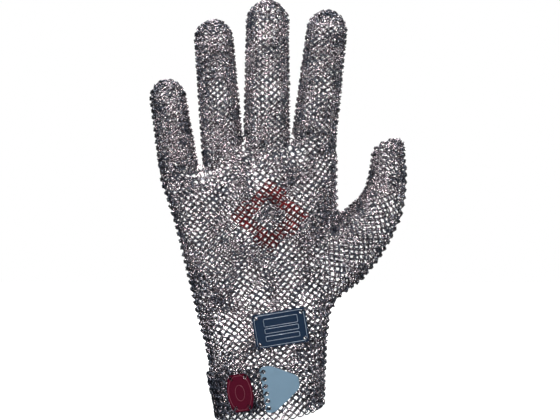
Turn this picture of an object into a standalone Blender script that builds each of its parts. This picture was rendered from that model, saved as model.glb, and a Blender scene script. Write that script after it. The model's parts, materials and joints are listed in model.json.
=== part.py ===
"""Ring-mesh (chain mail) cut-resistant glove, left open at the cuff, fingers up.

The glove stands as if a hand were inside it: +Z runs from the cuff to the fingertips, the back
of the hand faces -Y, and the thumb is at +X. The origin is the centre of the cuff's opening.
The mesh is modelled as thin shells. Each finger bends at its knuckle and at its middle joint,
and the closure strap and its clasp plate fold open from the cuff.
"""

import math

import bmesh
import bpy
from mathutils import Matrix, Vector

MM = 0.001

# Mesh shells
WALL = 1.6 * MM
GAP = 0.3 * MM
HAND_SIDES = 36
TUBE_SIDES = 20
ROUNDNESS = 2.6          # exponent of the hand's cross-section: 2 is an ellipse
CUFF_TOP = 31.0 * MM
HAND_STATIONS = (        # height, little-finger edge, thumb edge, half depth, in mm
    (0.0, -29.4, 31.0, 22.0),
    (12.0, -30.8, 31.0, 22.3),
    (24.0, -33.4, 31.3, 22.5),
    (42.0, -36.6, 32.0, 22.5),
    (56.0, -40.6, 33.6, 22.5),
    (68.0, -43.4, 36.5, 22.3),
    (90.0, -48.8, 38.6, 21.2),
    (114.0, -54.5, 38.8, 19.0),
    (131.0, -58.9, 37.9, 16.8),
    (139.0, -61.2, 38.2, 15.4),
    (143.5, -62.3, 38.3, 14.4),
    (146.5, -62.0, 38.0, 12.8),
)
KNUCKLE_SLOPE = 0.11     # the top of the hand rises towards the index finger
SLOPE_FROM = 100.0 * MM
SLOPE_FULL = 140.0 * MM

# Fingers: knuckle x and z, lean to the thumb side, middle joint and tip as distances along the
# finger from the knuckle, half width at the knuckle and at the start of the tip
FINGERS = {
    "little": (-53.0, 148.0, -8.8, 23.5, 46.5, 10.9, 9.6),
    "ring": (-27.4, 157.5, -4.6, 31.5, 71.0, 11.7, 10.6),
    "middle": (-1.9, 159.5, 0.4, 35.0, 80.0, 13.0, 11.6),
    "index": (25.2, 160.5, 6.8, 33.0, 73.7, 12.5, 10.9),
}
DEPTH_SHARE = 0.88       # a finger's depth over its width
BAND_BELOW = 7.2 * MM    # mesh that flexes, below and above a joint's axis
BAND_ABOVE = 5.0 * MM
ROOT_BELOW = 12.5 * MM   # the knuckle zone reaches down into the hand
ROOT_PINCH = 2.2 * MM    # and narrows towards its lower end
CURL_STEPS = 5           # rings of faces in a fingertip's dome
DOME_TOP = 0.995         # a dome ends in a small flat: its height and width as shares
DOME_FLAT = 0.12
SHARP = math.radians(40)

# Thumb: centre x, y, z and half width along its curved axis, in mm
THUMB_STATIONS = (
    (12.0, 2.0, 76.0, 16.5),
    (27.0, 3.0, 83.0, 18.8),
    (40.0, 4.0, 94.0, 19.3),
    (50.0, 5.0, 103.0, 17.4),
    (57.6, 6.0, 112.0, 15.2),
    (63.6, 6.6, 120.5, 13.2),
    (67.0, 7.0, 131.0, 11.4),
    (68.3, 7.0, 142.0, 10.4),
    (68.4, 7.0, 151.0, 9.2),
)
THUMB_TIP = 9.5 * MM     # height of the thumb's domed end
THUMB_JOINT = 5          # the station that the thumb bends at
THUMB_BELOW = 0.42       # where the flexing zone starts, as a share of the interval below it
THUMB_ABOVE = 0.55       # and where it ends, in the interval above it
THUMB_DEPTH = 0.9
THUMB_SLACK = 0.03       # gaps beside the flexing zone, in stations
SAME_STATION = 0.05

# Hardware on the wrist
TILT = math.radians(9.0)         # the plates lean with the little-finger edge of the wrist
LIFT = 2.5 * MM                  # strap and clasp stand this far off the cuff
STRAP_THICK = 1.2 * MM
STRAP_LOW = 6.2 * MM
STRAP_HIGH = 30.8 * MM
STRAP_COLUMNS = 9
STRAP_TURN = 188.0               # where on the cuff's outline the strap hinges, in degrees
ROOT_TURN = 158.0                # and where its woven-in end stops
ROOT_START = STRAP_TURN - 2.5
ROOT_FLOOR = 0.5 * MM
ROOT_STEPS = 5
CLASP_THICK = 1.0 * MM
CLASP_YAW = math.radians(3.0)
CLASP_HOLES = 6
HOLE_PITCH = 4.1 * MM
HOLE_R = 1.25 * MM
CLASP_AT = (-2.0 * MM, 19.3 * MM)
CLASP_OUTLINE = (                # right and up from the middle hole, in mm
    (-1.9, -12.8), (2.9, -12.9), (11.0, -7.6), (17.6, -2.7), (18.9, -0.7), (18.9, 4.1),
    (17.6, 5.6), (4.4, 13.0), (-1.9, 13.0),
)
HOOK_U = 18.3 * MM
HOOK_V = 1.7 * MM
HOOK_WIDE = 4.0 * MM
HOOK_DEEP = 4.4 * MM
HOOK_ROOM = 1.4 * MM
HOOK_CORNER = 0.2 * MM
SLOT_DEEP = 3 * HOOK_DEEP
LINK_R = 2.2 * MM                # rings that tie the plates on
LINK_WIRE = 0.3 * MM
LINK_ROOM = 0.3 * MM
LINK_SIDES = 16
WIRE_SIDES = 6
CORNER_HOLE = 1.1 * MM
DRILL_LENGTH = 4.8 * MM
CORNER_IN = 2.2 * MM             # a corner hole's distance from both edges

TAG_AT = (-16.4 * MM, 17.8 * MM)
TAG_WIDE = 14.6 * MM
TAG_TALL = 20.8 * MM
TAG_THICK = 1.2 * MM
TAG_YAW = math.radians(-11.0)
TAG_OFF = 2.3 * MM
TAG_BULGE = 1.6 * MM
TAG_NOTCH = 1.6 * MM
TAG_SIDES = 6
TAG_HOLES_WIDE = TAG_WIDE - 2.4 * MM

PLATE_AT = (6.0 * MM, 53.5 * MM)
PLATE_WIDE = 30.0 * MM
PLATE_TALL = 19.4 * MM
PLATE_THICK = 1.2 * MM
PLATE_YAW = math.radians(5.0)
PLATE_OFF = 1.3 * MM
PLATE_CORNER = 1.0 * MM

INSIDE_BELOW = 10 * MM           # cutters run on past what they cut
FAR = 200 * MM

STEEL = (0.52, 0.50, 0.51)
PLATE_STEEL = (0.13, 0.19, 0.27)
CLASP_STEEL = (0.55, 0.63, 0.68)
TAG_RED = (0.23, 0.015, 0.04)


def clear_scene():
    for obj in list(bpy.data.objects):
        bpy.data.objects.remove(obj, do_unlink=True)


def material(name, colour, roughness, metallic):
    mat = bpy.data.materials.new(name)
    mat.use_nodes = True
    shader = mat.node_tree.nodes["Principled BSDF"]
    shader.inputs["Base Color"].default_value = (*colour, 1.0)
    shader.inputs["Roughness"].default_value = roughness
    shader.inputs["Metallic"].default_value = metallic
    return mat


def finish_mesh(name, bm, mat, smooth=True):
    """Turns a bmesh into a named object with its faces pointing out."""
    bmesh.ops.recalc_face_normals(bm, faces=bm.faces)
    mesh = bpy.data.meshes.new(name)
    bm.to_mesh(mesh)
    bm.free()
    if mat is not None:
        mesh.materials.append(mat)
    if smooth:
        mesh.shade_smooth()
        mesh.set_sharp_from_angle(angle=SHARP)
    obj = bpy.data.objects.new(name, mesh)
    bpy.context.scene.collection.objects.link(obj)
    return obj


def as_cutter(obj):
    obj.hide_render = True
    obj.display_type = "WIRE"
    return obj


def boolean(obj, cutter, operation="DIFFERENCE"):
    mod = obj.modifiers.new(operation.lower(), "BOOLEAN")
    mod.operation = operation
    mod.solver = "EXACT"
    mod.object = cutter


def pivot(obj, point):
    """Moves an object's origin onto its joint's axis, leaving the mesh where it is."""
    obj.data.transform(Matrix.Translation(-point))
    obj.location = point


def bridge(bm, low, high):
    for k in range(len(low)):
        after = (k + 1) % len(low)
        bm.faces.new((low[k], low[after], high[after], high[k]))


def skin(bm, rings):
    """Adds the rings of points to a bmesh, and the walls between them."""
    rows = [[bm.verts.new(p) for p in ring] for ring in rings]
    for low, high in zip(rows, rows[1:]):
        bridge(bm, low, high)
    return rows


def solid(name, rings, mat=None):
    """A closed solid through rings of points, with flat ends."""
    bm = bmesh.new()
    rows = skin(bm, rings)
    bm.faces.new(reversed(rows[0]))
    bm.faces.new(rows[-1])
    return finish_mesh(name, bm, mat)


def open_tube(name, outer, inner, mat):
    """A tube wall between two sets of rings, open at both ends."""
    bm = bmesh.new()
    out_rows = skin(bm, outer)
    in_rows = skin(bm, inner)
    bridge(bm, out_rows[0], in_rows[0])
    bridge(bm, out_rows[-1], in_rows[-1])
    return finish_mesh(name, bm, mat)


def cup(name, outer, inner, mat):
    """A tube wall that is open below and closed above."""
    bm = bmesh.new()
    out_rows = skin(bm, outer)
    in_rows = skin(bm, inner)
    bridge(bm, out_rows[0], in_rows[0])
    bm.faces.new(out_rows[-1])
    bm.faces.new(in_rows[-1])
    return finish_mesh(name, bm, mat)


def box(name, low, high):
    bm = bmesh.new()
    bmesh.ops.create_cube(bm, size=1.0)
    low, high = Vector(low), Vector(high)
    scale = Matrix.Diagonal((*(high - low), 1.0))
    bm.transform(Matrix.Translation((low + high) / 2) @ scale)
    return as_cutter(finish_mesh(name, bm, None, smooth=False))


def add_ring(bm, centre, normal, radius, wire):
    """A wire ring, as one closed torus."""
    frame = normal.to_track_quat("Z", "Y").to_matrix()
    rows = []
    for i in range(LINK_SIDES):
        a = math.tau * i / LINK_SIDES
        out = frame @ Vector((math.cos(a), math.sin(a), 0))
        rows.append([])
        for k in range(WIRE_SIDES):
            b = math.tau * k / WIRE_SIDES
            off = out * (radius + wire * math.cos(b)) + frame.col[2] * (wire * math.sin(b))
            rows[-1].append(bm.verts.new(centre + off))
    for i in range(LINK_SIDES):
        bridge(bm, rows[i], rows[(i + 1) % LINK_SIDES])


def add_drill(bm, centre, normal, radius, length):
    matrix = Matrix.Translation(centre) @ normal.to_track_quat("Z", "Y").to_matrix().to_4x4()
    bmesh.ops.create_cone(
        bm, cap_ends=True, segments=WIRE_SIDES * 2, radius1=radius, radius2=radius,
        depth=length, matrix=matrix,
    )


# The hand's cross-section

def power(value, exponent):
    return math.copysign(abs(value) ** exponent, value)


def station(z):
    """The hand's edges and half depth at a height, in metres."""
    rows = [tuple(v * MM for v in row) for row in HAND_STATIONS]
    for low, high in zip(rows, rows[1:]):
        if z <= high[0]:
            break
    share = min(1.0, (z - low[0]) / (high[0] - low[0]))
    return tuple(a + (b - a) * share for a, b in zip(low[1:], high[1:]))


def outline(z, degrees, out=0.0):
    """A point on the hand's outline at a height, moved out from the surface.
    0 degrees is the thumb edge, 180 the little-finger edge, 270 the back of the hand."""
    left, right, depth = station(z)
    half = (right - left) / 2 + out
    a = math.radians(degrees)
    x = (left + right) / 2 + half * power(math.cos(a), 2 / ROUNDNESS)
    y = (depth + out) * power(math.sin(a), 2 / ROUNDNESS)
    share = min(1.0, max(0.0, (z - SLOPE_FROM) / (SLOPE_FULL - SLOPE_FROM)))
    return Vector((x, y, z + KNUCKLE_SLOPE * share * share * (3 - 2 * share) * x))


def turn_at(x, z):
    """The angle on the back of the hand at which the outline passes a given x."""
    left, right, _ = station(z)
    share = (x - (left + right) / 2) / ((right - left) / 2)
    return 360.0 - math.degrees(math.acos(power(share, ROUNDNESS / 2)))


def back_of_hand(x, z):
    return outline(z, turn_at(x, z)).y


def hand_ring(z, out=0.0, drop=0.0):
    turns = [360.0 * k / HAND_SIDES for k in range(HAND_SIDES)]
    return [outline(z, t, out) - Vector((0, 0, drop)) for t in turns]


def hand_solid(name, out=0.0, drop=0.0, start=0.0):
    """The space inside the hand's surface, moved out (or in) by a distance."""
    heights = [row[0] * MM for row in HAND_STATIONS]
    rings = [hand_ring(z, out, drop) for z in heights]
    rings[0] = [p + Vector((0, 0, drop + start)) for p in rings[0]]
    return as_cutter(solid(name, rings))


# Fingers and thumb

def finger_frame(finger):
    """Knuckle, direction along the finger and direction across it."""
    x, z, lean = FINGERS[finger][:3]
    a = math.radians(lean)
    along = Vector((math.sin(a), 0, math.cos(a)))
    across = Vector((math.cos(a), 0, -math.sin(a)))
    return Vector((x * MM, 0, z * MM)), along, across


def finger_ring(finger, distance, out=0.0, shrink=1.0):
    """A finger's cross-section at a distance above its knuckle."""
    tip, half_low, half_high = FINGERS[finger][4:]
    origin, along, across = finger_frame(finger)
    share = min(1.0, max(0.0, distance / (tip * MM)))
    pinch = min(1.0, max(0.0, (BAND_ABOVE - distance) / (BAND_ABOVE + ROOT_BELOW)))
    half = (half_low + (half_high - half_low) * share) * MM - ROOT_PINCH * pinch
    ring = []
    for k in range(TUBE_SIDES):
        a = math.tau * (k + 0.5) / TUBE_SIDES
        side = across * ((half + out) * shrink * math.cos(a))
        deep = Vector((0, (half * DEPTH_SHARE + out) * shrink * math.sin(a), 0))
        ring.append(origin + along * distance + side + deep)
    return ring


def finger_length(finger, low, high, out=0.0):
    return [finger_ring(finger, low, out), finger_ring(finger, high, out)]


def finger_dome(finger, low, out=0.0):
    """Rings from a height up to the closed end of the finger."""
    tip, _, half = FINGERS[finger][4:]
    radius = (half * MM) + out
    start = tip * MM + out - radius
    rings = [finger_ring(finger, low, out)]
    for k in range(CURL_STEPS):
        a = math.pi / 2 * k / CURL_STEPS
        rings.append(finger_ring(finger, start + radius * math.sin(a), out, math.cos(a)))
    rings.append(finger_ring(finger, start + radius * DOME_TOP, out, DOME_FLAT))
    return rings


def make_finger(finger, steel):
    middle = FINGERS[finger][3] * MM
    origin, along, _ = finger_frame(finger)
    lengths = {
        "knuckle_mesh": (-ROOT_BELOW, BAND_ABOVE - GAP),
        "base_mesh": (BAND_ABOVE, middle - BAND_BELOW - GAP),
        "joint_mesh": (middle - BAND_BELOW, middle + BAND_ABOVE - GAP),
    }
    for part, (low, high) in lengths.items():
        outer = finger_length(finger, low, high)
        inner = finger_length(finger, low, high, -WALL)
        obj = open_tube(f"{finger}_{part}", outer, inner, steel)
        if part != "knuckle_mesh":
            pivot(obj, origin)
    low = middle + BAND_ABOVE
    outer = finger_dome(finger, low)
    inner = finger_dome(finger, low, -WALL)
    pivot(cup(f"{finger}_tip_mesh", outer, inner, steel), origin + along * middle)


def thumb_centre(s):
    """Centre, direction and half width at a place along the thumb, counted in stations."""
    k = min(int(s), len(THUMB_STATIONS) - 2)
    low, high = THUMB_STATIONS[k], THUMB_STATIONS[k + 1]
    before = THUMB_STATIONS[max(k - 1, 0)]
    beyond = THUMB_STATIONS[min(k + 2, len(THUMB_STATIONS) - 1)]
    share = s - k
    point = Vector(low[:3]).lerp(Vector(high[:3]), share) * MM
    start = (Vector(high[:3]) - Vector(before[:3])).normalized()
    end = (Vector(beyond[:3]) - Vector(low[:3])).normalized()
    along = start.lerp(end, share).normalized()
    return point, along, (low[3] + (high[3] - low[3]) * share) * MM


def thumb_ring(s, out=0.0, shrink=1.0, ahead=0.0):
    point, along, half = thumb_centre(s)
    across = Vector((0, 1, 0)).cross(along).normalized()
    deep = along.cross(across)
    ring = []
    for k in range(TUBE_SIDES):
        a = math.tau * (k + 0.5) / TUBE_SIDES
        side = across * ((half + out) * shrink * math.cos(a))
        back = deep * ((half * THUMB_DEPTH + out) * shrink * math.sin(a))
        ring.append(point + along * ahead + side + back)
    return ring


def thumb_rings(low, high, out=0.0):
    inside = [k for k in range(len(THUMB_STATIONS)) if low + SAME_STATION < k < high - SAME_STATION]
    return [thumb_ring(s, out) for s in (low, *inside, high)]


def thumb_dome(low, out=0.0):
    top = len(THUMB_STATIONS) - 1.0
    rings = thumb_rings(low, top, out)
    for k in range(1, CURL_STEPS):
        a = math.pi / 2 * k / CURL_STEPS
        rings.append(thumb_ring(top, out, math.cos(a), (THUMB_TIP + out) * math.sin(a)))
    rings.append(thumb_ring(top, out, DOME_FLAT, (THUMB_TIP + out) * DOME_TOP))
    return rings


def make_thumb(steel, hand_clear):
    start = THUMB_JOINT - 1 + THUMB_BELOW
    end = THUMB_JOINT + THUMB_ABOVE
    base = open_tube(
        "thumb_base_mesh", thumb_rings(0, start), thumb_rings(0, start, -WALL), steel
    )
    boolean(base, hand_clear)
    open_tube(
        "thumb_knuckle_mesh",
        thumb_rings(start + THUMB_SLACK, end - THUMB_SLACK),
        thumb_rings(start + THUMB_SLACK, end - THUMB_SLACK, -WALL),
        steel,
    )
    tip = cup("thumb_tip_mesh", thumb_dome(end), thumb_dome(end, -WALL), steel)
    pivot(tip, thumb_centre(THUMB_JOINT)[0])


# Plates, rings and strap on the wrist

def plate_frame(at, off, yaw):
    """A plate's frame on the back of the hand: x to the right, y up, z out of the hand."""
    x, z = at
    centre = Vector((x, back_of_hand(x, z) - off, z))
    right = Vector((math.cos(yaw) * math.cos(TILT), math.sin(yaw), math.cos(yaw) * math.sin(TILT)))
    up = Vector((-math.sin(TILT), 0, math.cos(TILT)))
    out = right.cross(up).normalized()
    up = out.cross(right)
    rotation = Matrix((right, up, out)).transposed().to_4x4()
    return Matrix.Translation(centre) @ rotation


def extruded(name, points, thick, frame, mat):
    """A flat plate from an outline, centred on its frame's plane."""
    low = [frame @ Vector((x, y, -thick / 2)) for x, y in points]
    high = [frame @ Vector((x, y, thick / 2)) for x, y in points]
    bm = bmesh.new()
    rows = skin(bm, [low, high])
    bm.faces.new(rows[0])
    bm.faces.new(rows[1])
    return finish_mesh(name, bm, mat)


def rectangle(wide, tall, corner, steps=3):
    """A rectangle's outline with rounded corners."""
    points = []
    for k, (sx, sy) in enumerate(((1, 1), (-1, 1), (-1, -1), (1, -1))):
        for i in range(steps + 1):
            a = math.pi / 2 * (k + i / steps)
            x = sx * (wide / 2 - corner) + corner * math.cos(a)
            y = sy * (tall / 2 - corner) + corner * math.sin(a)
            points.append((x, y))
    return points


def barrel(wide, tall):
    """An upright outline with bowed sides and its four corners cut off."""
    points = []
    end = wide / 2 - TAG_BULGE - TAG_NOTCH
    for sign in (1, -1):
        for i in range(TAG_SIDES + 1):
            share = -1 + 2 * i / TAG_SIDES
            y = sign * share * (tall / 2 - TAG_NOTCH)
            x = sign * (wide / 2 - TAG_BULGE * share * share)
            points.append((x, y))
        points.append((sign * end, sign * tall / 2))
        points.append((-sign * end, sign * tall / 2))
    return points


def corners(wide, tall, inset):
    return [
        (sx * (wide / 2 - inset), sy * (tall / 2 - inset))
        for sx, sy in ((1, 1), (-1, 1), (-1, -1), (1, -1))
    ]


def corner_links(prefix, frame, places, steel):
    """Rings through a plate's corners, each leaning out from the plate's middle.
    Returns what to cut from the plate and from the mesh behind it."""
    holes = bmesh.new()
    rooms = bmesh.new()
    out = frame.to_3x3().col[2]
    for k, (x, y) in enumerate(places, 1):
        outward = frame.to_3x3() @ Vector((x, y, 0)).normalized()
        hole = frame @ Vector((x, y, 0))
        centre = hole + outward * LINK_R
        normal = outward.cross(out).normalized()
        bm = bmesh.new()
        add_ring(bm, centre, normal, LINK_R, LINK_WIRE)
        finish_mesh(f"{prefix}_ring_{k}", bm, steel)
        add_ring(rooms, centre, normal, LINK_R, LINK_WIRE + LINK_ROOM)
        add_drill(holes, hole, out, CORNER_HOLE, DRILL_LENGTH)
    return (
        as_cutter(finish_mesh(f"{prefix}_holes", holes, None)),
        as_cutter(finish_mesh(f"{prefix}_ring_room", rooms, None)),
    )


def hole_offsets():
    first = -(CLASP_HOLES - 1) / 2
    return [(first + k) * HOLE_PITCH for k in range(CLASP_HOLES)]


def strap_point(share, z, off):
    """A point on the strap: share 0 is its clasp edge and 1 its hinge."""
    up = (z - CLASP_AT[1]) / math.cos(TILT)
    edge_x = CLASP_AT[0] - math.sin(TILT) * up - (2 * LINK_R - CORNER_HOLE) * math.cos(TILT)
    start = turn_at(edge_x, max(z, 0.0))
    turn = start + (STRAP_TURN - start) * share
    here = outline(z, turn, off)
    fall = (here.x - edge_x) * math.tan(TILT)
    return Vector((here.x, here.y, z + fall))


def band(name, columns, mat):
    """A curved strip: each column gives its outer low, outer high, inner high, inner low point."""
    bm = bmesh.new()
    rows = skin(bm, columns)
    bm.faces.new(rows[0])
    bm.faces.new(rows[-1])
    return finish_mesh(name, bm, mat)


def make_strap(steel):
    near, far = LIFT - STRAP_THICK / 2, LIFT + STRAP_THICK / 2
    columns = []
    for k in range(STRAP_COLUMNS + 1):
        share = k / STRAP_COLUMNS
        columns.append([
            strap_point(share, STRAP_LOW, far), strap_point(share, STRAP_HIGH, far),
            strap_point(share, STRAP_HIGH, near), strap_point(share, STRAP_LOW, near),
        ])
    return band("closure_strap_mesh", columns, steel)


def make_strap_root(steel):
    """The end of the strap that is woven into the cuff, behind the hinge."""
    near, far = GAP, LIFT + STRAP_THICK / 2
    edge = strap_point(1.0, STRAP_LOW, LIFT).z, strap_point(1.0, STRAP_HIGH, LIFT).z
    low, high = max(edge[0], ROOT_FLOOR), edge[1]
    columns = []
    for k in range(ROOT_STEPS + 1):
        share = k / ROOT_STEPS
        turn = ROOT_START + (ROOT_TURN - ROOT_START) * share
        reach = far + (WALL - far) * share
        columns.append([
            outline(low, turn, reach), outline(high, turn, reach),
            outline(high, turn, near), outline(low, turn, near),
        ])
    return band("strap_root_mesh", columns, steel)


def make_clasp(steel, clasp_steel, strap):
    frame = plate_frame(CLASP_AT, LIFT, CLASP_YAW)
    outline_m = [(x * MM, y * MM) for x, y in CLASP_OUTLINE]
    clasp = extruded("clasp_plate", outline_m, CLASP_THICK, frame, clasp_steel)
    axes = frame.to_3x3()
    holes = bmesh.new()
    rooms = bmesh.new()
    for k, v in enumerate(hole_offsets(), 1):
        hole = frame @ Vector((0, v, 0))
        centre = frame @ Vector((-LINK_R, v, 0))
        bm = bmesh.new()
        add_ring(bm, centre, axes.col[1], LINK_R, LINK_WIRE)
        pivot(finish_mesh(f"clasp_ring_{k}", bm, steel), centre)
        add_ring(rooms, centre, axes.col[1], LINK_R, LINK_WIRE + LINK_ROOM)
        add_drill(holes, hole, axes.col[2], HOLE_R, DRILL_LENGTH)
    hook = extruded(
        "hook_lip", rectangle(CLASP_THICK, HOOK_WIDE, HOOK_CORNER, 1), HOOK_DEEP,
        frame @ Matrix.Translation((HOOK_U, HOOK_V, -HOOK_DEEP / 2)), None,
    )
    slot = extruded(
        "hook_slot",
        rectangle(CLASP_THICK + HOOK_ROOM, HOOK_WIDE + HOOK_ROOM, HOOK_CORNER, 1),
        SLOT_DEEP,
        frame @ Matrix.Translation((HOOK_U, HOOK_V, -HOOK_DEEP / 2)), None,
    )
    boolean(clasp, as_cutter(hook), "UNION")
    boolean(clasp, as_cutter(finish_mesh("clasp_holes", holes, None)))
    boolean(strap, as_cutter(finish_mesh("clasp_ring_room", rooms, None)))
    pivot(clasp, frame @ Vector((-LINK_R, 0, 0)))
    return as_cutter(slot)


def main():
    clear_scene()
    steel = material("ring_mesh_steel", STEEL, 0.35, 1.0)
    clasp_steel = material("clasp_steel", CLASP_STEEL, 0.4, 1.0)
    plate_steel = material("marking_plate_steel", PLATE_STEEL, 0.25, 1.0)
    red = material("size_tag_red", TAG_RED, 0.4, 0.0)

    strap = make_strap(steel)
    make_strap_root(steel)
    slot = make_clasp(steel, clasp_steel, strap)

    tag_frame = plate_frame(TAG_AT, LIFT + TAG_OFF, TAG_YAW)
    tag = extruded("size_tag", barrel(TAG_WIDE, TAG_TALL), TAG_THICK, tag_frame, red)
    tag_corners = corners(TAG_HOLES_WIDE, TAG_TALL, CORNER_IN)
    tag_holes, tag_rooms = corner_links("tag", tag_frame, tag_corners, steel)
    boolean(tag, tag_holes)
    boolean(strap, tag_rooms)
    hinge = strap_point(1.0, (STRAP_LOW + STRAP_HIGH) / 2, LIFT)
    for obj in (strap, tag, *(bpy.data.objects[f"tag_ring_{k}"] for k in range(1, 5))):
        pivot(obj, hinge)

    plate_at = plate_frame(PLATE_AT, PLATE_OFF, PLATE_YAW)
    plate = extruded("marking_plate", rectangle(PLATE_WIDE, PLATE_TALL, PLATE_CORNER),
                     PLATE_THICK, plate_at, plate_steel)
    places = corners(PLATE_WIDE, PLATE_TALL, CORNER_IN)
    plate_holes, plate_rooms = corner_links("plate", plate_at, places, steel)
    boolean(plate, plate_holes)

    inside = hand_solid("hand_inside", -WALL, WALL, -INSIDE_BELOW)
    clear = hand_solid("hand_clear", GAP)
    thumb_inside = as_cutter(solid("thumb_inside", thumb_rings(0, THUMB_JOINT, -WALL)))
    finger_holes = [
        as_cutter(solid(f"{f}_hole", [
            finger_ring(f, s, GAP) for s in (-2 * ROOT_BELOW, -ROOT_BELOW, ROOT_BELOW)
        ]))
        for f in FINGERS
    ]
    below_cuff_top = box("below_cuff_top", (-FAR, -FAR, -FAR), (FAR, FAR, CUFF_TOP))
    above_cuff = box("above_cuff", (-FAR, -FAR, CUFF_TOP - GAP), (FAR, FAR, 2 * FAR))
    front_half = box("front_half", (-FAR, -FAR, -FAR), (FAR, GAP / 2, 2 * FAR))
    back_half = box("back_half", (-FAR, -GAP / 2, -FAR), (FAR, FAR, 2 * FAR))

    heights = [row[0] * MM for row in HAND_STATIONS]
    halves = {"hand_back_mesh": back_half, "hand_palm_mesh": front_half}
    for name, other_half in halves.items():
        shell = solid(name, [hand_ring(z) for z in heights], steel)
        for cutter in (inside, below_cuff_top, other_half, thumb_inside, *finger_holes):
            boolean(shell, cutter)
    boolean(bpy.data.objects["hand_back_mesh"], plate_rooms)
    cuff = solid("cuff_mesh", [hand_ring(z) for z in heights], steel)
    for cutter in (inside, above_cuff, slot):
        boolean(cuff, cutter)

    make_thumb(steel, clear)
    for finger in FINGERS:
        make_finger(finger, steel)


main()
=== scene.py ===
import json
import math

import bmesh
import bpy
import numpy as np
from mathutils import Matrix, Vector


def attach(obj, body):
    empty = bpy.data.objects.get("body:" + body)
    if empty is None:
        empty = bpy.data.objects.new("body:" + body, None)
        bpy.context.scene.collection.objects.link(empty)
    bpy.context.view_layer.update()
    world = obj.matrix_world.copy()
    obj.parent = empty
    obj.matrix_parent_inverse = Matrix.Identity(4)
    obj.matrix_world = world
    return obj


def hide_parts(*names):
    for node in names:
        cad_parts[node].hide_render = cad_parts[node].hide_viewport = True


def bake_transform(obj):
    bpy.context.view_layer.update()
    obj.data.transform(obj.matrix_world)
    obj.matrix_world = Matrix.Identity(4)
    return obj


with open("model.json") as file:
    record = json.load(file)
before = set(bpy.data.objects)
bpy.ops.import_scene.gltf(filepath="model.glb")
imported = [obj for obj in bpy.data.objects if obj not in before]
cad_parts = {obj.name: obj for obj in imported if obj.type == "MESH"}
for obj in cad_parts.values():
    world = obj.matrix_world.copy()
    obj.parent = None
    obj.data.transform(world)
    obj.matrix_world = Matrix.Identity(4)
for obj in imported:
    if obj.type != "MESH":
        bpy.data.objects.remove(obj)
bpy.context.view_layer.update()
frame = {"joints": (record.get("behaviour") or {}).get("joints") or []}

MM = 0.001
RANDOM = np.random.default_rng(11)
JOINTS = {joint["name"]: joint for joint in frame["joints"]}

# The weave: each ring goes through two rings of the row above and two of the row below
RING_R = 1.94 * MM
WIRE_R = 0.37 * MM
PALM_WIRE_R = 0.48 * MM
RING_SIDES = 14
WIRE_SIDES = 6
TONE_AND_PAINTED_LIGHT_SHARES = (0.5, 0.25, 0.25)     # shares of rings with each material of their piece; for the steel these are plain, and lighter and darker copies with painted highlight and painted shade
LEAN = math.radians(29)          # rings of even rows tip out, those of odd rows in
SHAKE = math.radians(4)          # how unevenly the rings lean, and lie
STRAY = 0.09 * MM
SINK = 0.5 * MM                  # ring centres lie this far inside the glove's outer surface
FIRST_ROW = 1.9 * MM
LAST_ROW = 260 * MM
PALM_ROW = 2.04 * MM
FINGER_ROW = 1.78 * MM
ROWS_CLOSE_FROM = 138 * MM
ROWS_CLOSE_TO = 160 * MM
PALM_PITCH = 4.45 * MM
FINGER_PITCH = 4.33 * MM
PITCH_CLOSES_FROM = 60 * MM
RISE = 0.14                      # the hand's rows climb towards the thumb side
RISE_FULL = 45 * MM
HEM_RISE = 2.6 * MM              # the hem climbs further at the thumb side
HEM_HALF = 31 * MM
SAG_COLUMNS = 5                  # the palm side lies one row lower, this far from the seams
SLACK_ROWS = 0.42                # and its rings lie unevenly, by these shares of a row
SLACK_COLUMNS = 0.22             # and of a column
SLACK_FROM = 20 * MM             # but not at the hem
SLACK_WAVES = ((0.9, 9 * MM, 1.0), (0.5, -6 * MM, 0.6))  # turn a column, height, strength
SLACK_ASIDE = (0.7, -7 * MM)
STRETCHED = 4                    # columns beside a side seam that take up the odd length
MOST_STRETCH = 1.3
HAIR = 0.1                       # columns closer than this are the same
ALMOST = 1e-6

# The hand's outer surface: height, little-finger edge, thumb edge, half depth
ROUNDNESS = 2.6
STATIONS = MM * np.array((
    (0.0, -29.4, 31.0, 22.0),
    (12.0, -30.8, 31.0, 22.3),
    (24.0, -33.4, 31.3, 22.5),
    (42.0, -36.6, 32.0, 22.5),
    (56.0, -40.6, 33.6, 22.5),
    (68.0, -43.4, 36.5, 22.3),
    (90.0, -48.8, 38.6, 21.2),
    (114.0, -54.5, 38.8, 19.0),
    (131.0, -58.9, 37.9, 16.8),
    (139.0, -61.2, 38.2, 15.4),
    (143.5, -62.3, 38.3, 14.4),
    (150.0, -61.5, 38.0, 12.6),
))
KNUCKLE_SLOPE = 0.11
SLOPE_FROM = 100 * MM
SLOPE_FULL = 140 * MM
REFERENCE = (-1.9 * MM, 160 * MM)    # column 0 runs up the middle finger's middle
HAND_SPLITS = (-1.0, 31 * MM, 66 * MM, 104 * MM, 1.0)    # the hand's pieces meet here

# Fingers: half width at the knuckle and at the tip, length beyond the knuckle, in mm
FINGERS = {
    "little": (10.9, 9.6, 46.5),
    "ring": (11.7, 10.6, 71.0),
    "middle": (13.0, 11.6, 80.0),
    "index": (12.5, 10.9, 73.7),
}
FINGER_DEPTH = 0.88
PER_FINGER = 6                   # columns of the hand that run into one finger's front
QUARTER = 4                      # columns round a quarter of a finger
CROTCHES = (150.5 * MM, 162.8 * MM, 158.0 * MM)
UPPER_COUNTS = (2 * PER_FINGER + QUARTER, PER_FINGER + QUARTER)
MERGE = 15 * MM                  # the hand's surface turns into the fingers' over this height
COUNTS_SETTLE = 1.6 * MERGE      # from this far below the crotches the counts don't change
OWN_ROWS = 6 * MM                # a finger's own rings start this far below its knuckle
WHOLE_ROWS = 4 * MM              # and go all the way round from this far above it
FINGER_BELOW = 20 * MM
FINGER_SAG_COLUMNS = 3
SAG_FADE = 12 * MM
TUBE_PAST = 0.25                 # where the tip starts to close, in half widths
TIP_GIRTH = 0.94                 # its circles are this much tighter than the surface
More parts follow.
